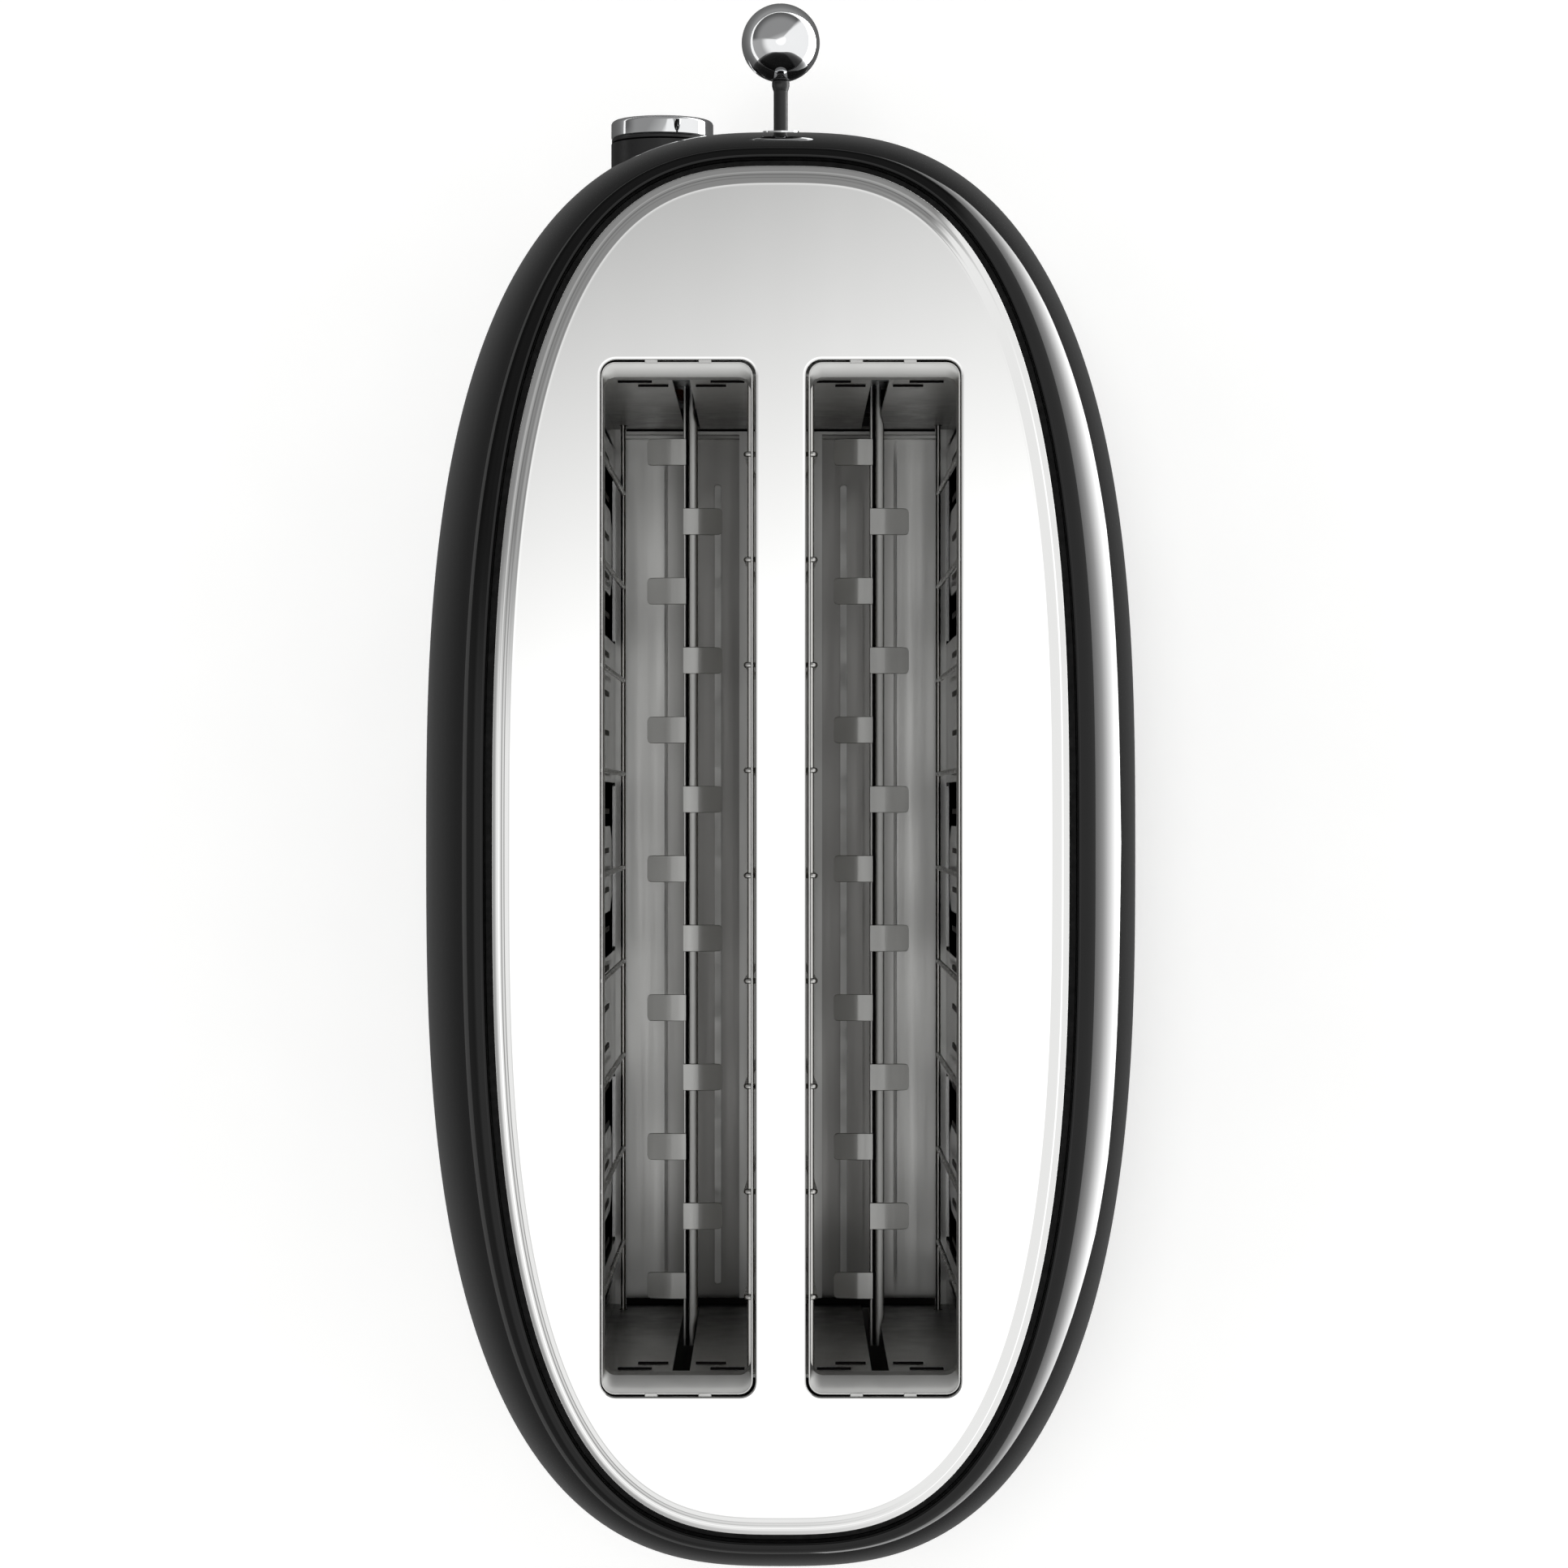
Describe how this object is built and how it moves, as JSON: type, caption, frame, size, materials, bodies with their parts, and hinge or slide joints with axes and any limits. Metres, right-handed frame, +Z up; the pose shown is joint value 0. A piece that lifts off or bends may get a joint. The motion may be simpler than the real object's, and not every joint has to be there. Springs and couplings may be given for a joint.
{
  "type": "baguette toaster",
  "caption": "Oval long-slot toaster with a gloss black shell, polished top plate, ball lever, browning knob and crumb tray.",
  "frame": {"origin": "on the table, under the centre of the toaster's overall box from lever ball to rear", "axes": "+Z up, -Y towards the lever end, +X towards the browning knob's side"},
  "size_m": [0.1952, 0.4198, 0.2079],
  "materials": {
    "gloss_black": "gloss",
    "polished_steel": "polished",
    "chrome_trim": "mirror",
    "black_rubber": "matte",
    "black_plastic": "satin",
    "galvanised_sheet": "satin",
    "heater_mica": "matte",
    "heater_ribbon": "dull",
    "bright_wire": "bright",
    "zinc_steel": "satin",
    "tray_steel": "satin",
    "brass_bush": "plain",
    "copper_coil": "varnished",
    "circuit_board": "satin",
    "pale_plastic": "satin"
  },
  "bodies": {
    "housing": {"front_shell": "gloss_black", "rear_shell": "gloss_black", "left_shell": "gloss_black", "right_shell": "gloss_black", "top_plate": "polished_steel", "rim_seal": "black_rubber", "base_ring": "chrome_trim", "base_pan": "black_plastic", "rubber_feet": "black_rubber", "foot_screws": "zinc_steel", "foot_nuts": "zinc_steel", "front_chassis_plate": "galvanised_sheet", "rear_chassis_plate": "galvanised_sheet", "left_reflector": "galvanised_sheet", "right_reflector": "galvanised_sheet", "bottom_frame": "galvanised_sheet", "left_heater_card": "heater_mica", "centre_heater_card": "heater_mica", "right_heater_card": "heater_mica", "heater_ribbons": "heater_ribbon", "guide_rods": "bright_wire", "guide_brackets": "galvanised_sheet", "return_springs": "zinc_steel", "lever_slot_trim": "chrome_trim", "electromagnet_core": "zinc_steel", "electromagnet_coil": "copper_coil", "magnet_base": "zinc_steel", "main_switch": "black_plastic", "control_board": "circuit_board", "button_board": "circuit_board", "board_posts": "pale_plastic", "browning_potentiometer": "zinc_steel", "relay": "pale_plastic", "capacitor": "black_plastic", "tact_switches": "black_plastic", "button_bezels": "black_plastic", "knob_collar": "black_plastic", "tray_runners": "black_plastic", "cord_bush": "black_rubber", "terminal_block": "pale_plastic"},
    "carriage": {"left_bread_rack": "zinc_steel", "right_bread_rack": "zinc_steel", "front_carriage": "zinc_steel", "carriage_bushes": "brass_bush", "latch_armature": "zinc_steel", "lever_stem": "black_plastic", "lever_ferrule": "black_plastic", "lever_ball": "chrome_trim"},
    "left_outer_guard": {"left_outer_guard": "bright_wire"},
    "left_inner_guard": {"left_inner_guard": "bright_wire"},
    "right_inner_guard": {"right_inner_guard": "bright_wire"},
    "right_outer_guard": {"right_outer_guard": "bright_wire"},
    "browning_knob": {"knob_barrel": "black_plastic", "knob_cap": "chrome_trim"},
    "cancel_button": {"cancel_button": "chrome_trim"},
    "reheat_button": {"reheat_button": "chrome_trim"},
    "defrost_button": {"defrost_button": "chrome_trim"},
    "bagel_button": {"bagel_button": "chrome_trim"},
    "crumb_drawer": {"crumb_tray": "tray_steel", "tray_handle": "black_plastic"}
  },
  "joints": [
    {"name": "lever_slide", "type": "slide", "parent": "housing", "child": "carriage", "axis": [0, 0, -1], "range_m": [0, 0.066], "stiffness_N_per_m": 90, "springref_m": -0.08, "deforming": ["return_springs"]},
    {"name": "left_outer_guard_tilt", "type": "hinge", "parent": "housing", "child": "left_outer_guard", "pos_m": [-0.046, 0.0236, 0.04], "axis": [0, 1, 0], "range_deg": [0, 3.01]},
    {"name": "left_inner_guard_tilt", "type": "hinge", "parent": "housing", "child": "left_inner_guard", "pos_m": [-0.0063, 0.0236, 0.04], "axis": [0, -1, 0], "range_deg": [0, 3.01]},
    {"name": "right_inner_guard_tilt", "type": "hinge", "parent": "housing", "child": "right_inner_guard", "pos_m": [0.0063, 0.0236, 0.04], "axis": [0, 1, 0], "range_deg": [0, 3.01]},
    {"name": "right_outer_guard_tilt", "type": "hinge", "parent": "housing", "child": "right_outer_guard", "pos_m": [0.046, 0.0236, 0.04], "axis": [0, -1, 0], "range_deg": [0, 3.01]},
    {"name": "browning_knob_turn", "type": "hinge", "parent": "housing", "child": "browning_knob", "pos_m": [0.0332, -0.1797, 0.095], "axis": [0, -1, 0], "range_deg": [-135, 135]},
    {"name": "cancel_button_press", "type": "slide", "parent": "housing", "child": "cancel_button", "axis": [0, 1, 0], "range_m": [0, 0.0015], "stiffness_N_per_m": 400, "springref_m": -0.001},
    {"name": "reheat_button_press", "type": "slide", "parent": "housing", "child": "reheat_button", "axis": [0, 1, 0], "range_m": [0, 0.0015], "stiffness_N_per_m": 400, "springref_m": -0.001},
    {"name": "defrost_button_press", "type": "slide", "parent": "housing", "child": "defrost_button", "axis": [0, 1, 0], "range_m": [0, 0.0015], "stiffness_N_per_m": 400, "springref_m": -0.001},
    {"name": "bagel_button_press", "type": "slide", "parent": "housing", "child": "bagel_button", "axis": [0, 1, 0], "range_m": [0, 0.0015], "stiffness_N_per_m": 400, "springref_m": -0.001},
    {"name": "crumb_tray_slide", "type": "slide", "parent": "housing", "child": "crumb_drawer", "axis": [0, 1, 0], "range_m": [0, 0.28]}
  ],
  "couplings": [
    {"joint": "left_outer_guard_tilt", "follows": "lever_slide", "rad_per_m": 0.79333},
    {"joint": "left_inner_guard_tilt", "follows": "lever_slide", "rad_per_m": 0.79333},
    {"joint": "right_inner_guard_tilt", "follows": "lever_slide", "rad_per_m": 0.79333},
    {"joint": "right_outer_guard_tilt", "follows": "lever_slide", "rad_per_m": 0.79333}
  ]
}
